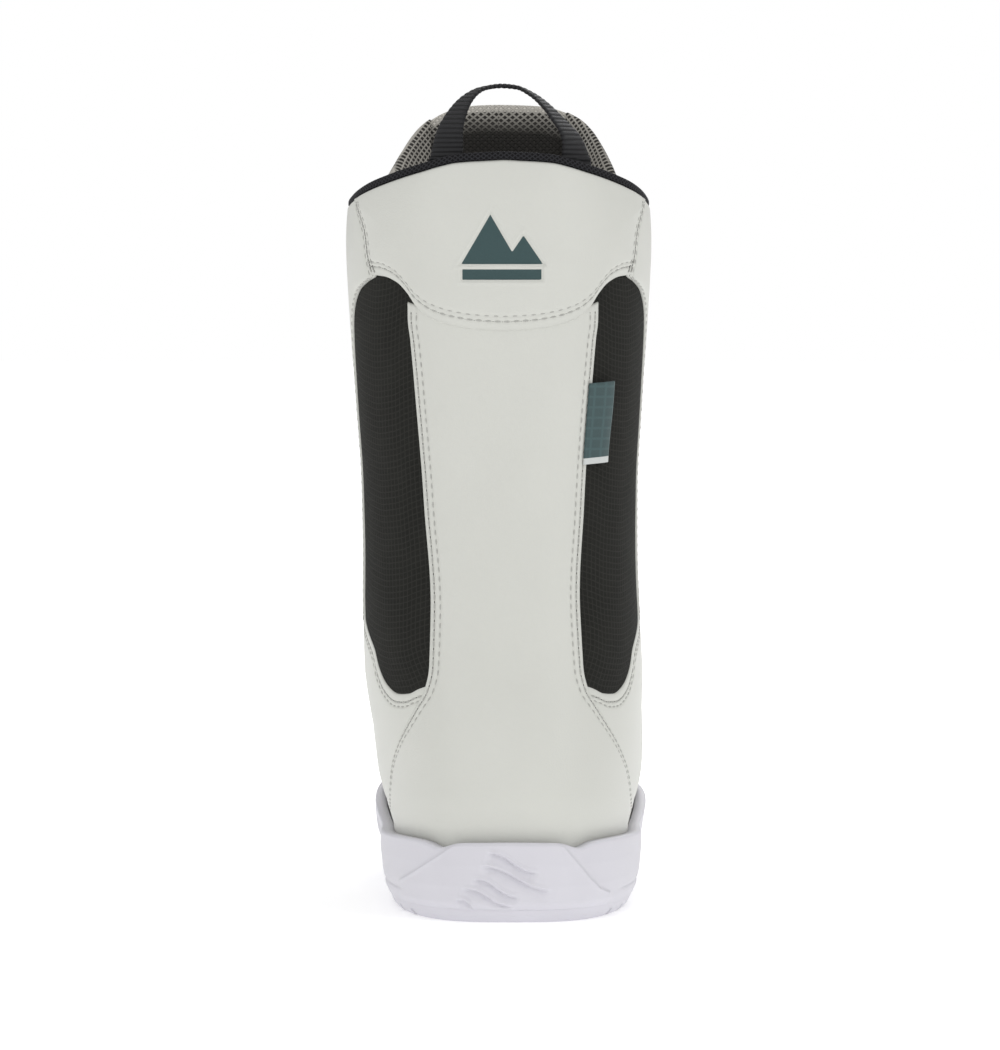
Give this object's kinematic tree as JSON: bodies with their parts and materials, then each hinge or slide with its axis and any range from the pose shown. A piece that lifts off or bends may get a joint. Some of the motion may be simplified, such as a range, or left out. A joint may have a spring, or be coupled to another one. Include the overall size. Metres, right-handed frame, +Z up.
{
  "type": "snowboard boot",
  "caption": "Right snowboard boot with a cup sole, a tall white shell, black fabric side panels, a removable liner, a pull loop and a front dial that winds one lace.",
  "frame": {"origin": "on the flat underside of the heel tread, 50 mm forward of the heel's back, midway across", "axes": "+Z up the leg, +Y towards the toe, +X to the wearer's right"},
  "size_m": [0.1212, 0.2747, 0.3201],
  "materials": {
    "white_rubber": "matt",
    "sole_foam": "matt, painted foam",
    "shank_nylon": "moulded",
    "white_leather": "synthetic, satin",
    "board": "pressed",
    "black_ripstop": "ripstop weave",
    "black_knit": "knit",
    "black_webbing": "ribbed webbing",
    "teal_label": "woven",
    "liner_foam": "spacer mesh over foam",
    "dial_black": "moulded",
    "grip_rubber": "matt",
    "steel": "coated"
  },
  "bodies": {
    "foot": {"midsole_cup": "sole_foam", "shank_plate": "shank_nylon", "heel_tread": "white_rubber", "forefoot_tread": "white_rubber", "lasting_board": "shank_nylon", "liner_sole": "liner_foam", "footbed": "liner_foam", "heel_and_spine_panel": "white_leather", "heel_counter": "board", "toe_stiffener": "board", "quarter_left": "white_leather", "quarter_right": "white_leather", "vamp": "white_leather", "toe_cap": "white_leather", "liner_boot": "liner_foam", "liner_toe": "liner_foam", "liner_flex_panel": "liner_foam", "liner_instep_panel": "liner_foam", "tongue_base": "white_leather", "lace_guide_instep_left": "dial_black", "lace_guide_instep_right": "dial_black", "lace_guide_vamp_left": "dial_black", "lace_guide_vamp_right": "dial_black", "lace_lower": "steel", "lace_middle": "steel"},
    "cuff": {"cuff_stiffener": "board", "cuff_flap_left": "white_leather", "cuff_flap_right": "white_leather", "collar_panel": "white_leather", "collar_binding": "black_knit", "side_textile_left": "black_ripstop", "side_textile_right": "black_ripstop", "side_label": "teal_label", "liner_cuff": "liner_foam", "loop_anchor_left": "black_webbing", "loop_anchor_right": "black_webbing", "lace_guide_upper_left": "dial_black", "lace_guide_upper_right": "dial_black", "lace_guide_middle_left": "dial_black", "lace_guide_middle_right": "dial_black", "lace_upper": "steel", "gusset_left": "black_ripstop", "gusset_right": "black_ripstop"},
    "tongue": {"shell_tongue": "white_leather", "tongue_flex_zone": "white_leather", "liner_tongue": "liner_foam", "dial_housing": "dial_black", "dial_ratchet_ring": "dial_black", "dial_retaining_clip": "steel"},
    "dial_spool": {"dial_spool": "dial_black"},
    "dial_drive": {"dial_drive_plate": "dial_black"},
    "dial_knob": {"dial_knob": "dial_black", "dial_grip_ring": "grip_rubber"},
    "pull_loop": {"pull_loop": "black_webbing"}
  },
  "joints": [
    {"name": "ankle_flex", "type": "hinge", "parent": "foot", "child": "cuff", "pos_m": [-0.004, 0.03, 0.105], "axis": [-1, 0, 0], "range_deg": [0, 10], "stiffness_Nm_per_rad": 57, "deforming": ["heel_and_spine_panel", "quarter_left", "quarter_right", "side_textile_left", "side_textile_right", "tongue_base", "tongue_flex_zone", "gusset_left", "gusset_right", "liner_flex_panel", "liner_instep_panel", "lace_middle", "lace_lower", "lace_upper"]},
    {"name": "tongue_open", "type": "hinge", "parent": "cuff", "child": "tongue", "pos_m": [-0.0048, 0.117, 0.15], "axis": [-1, 0, 0], "range_deg": [0, 25], "deforming": ["gusset_left", "gusset_right", "tongue_flex_zone", "tongue_base", "liner_instep_panel", "lace_upper", "lace_middle"]},
    {"name": "spool_turn", "type": "hinge", "parent": "tongue", "child": "dial_spool", "pos_m": [-0.00496, 0.11822, 0.22392], "axis": [0, 0.9972, -0.075], "continuous": true},
    {"name": "dial_turn", "type": "hinge", "parent": "tongue", "child": "dial_drive", "pos_m": [-0.00496, 0.11822, 0.22392], "axis": [0, 0.9972, -0.075], "continuous": true},
    {"name": "dial_pull", "type": "slide", "parent": "dial_drive", "child": "dial_knob", "axis": [0, 0.9972, -0.075], "range_m": [0, 0.0024]},
    {"name": "loop_fold", "type": "hinge", "parent": "cuff", "child": "pull_loop", "pos_m": [-0.00029, -0.01992, 0.296], "axis": [1, 0, 0], "range_deg": [-30, 10], "stiffness_Nm_per_rad": 0.03}
  ],
  "couplings": [
    {"joint": "spool_turn", "follows": "dial_turn", "ratio": 1}
  ]
}
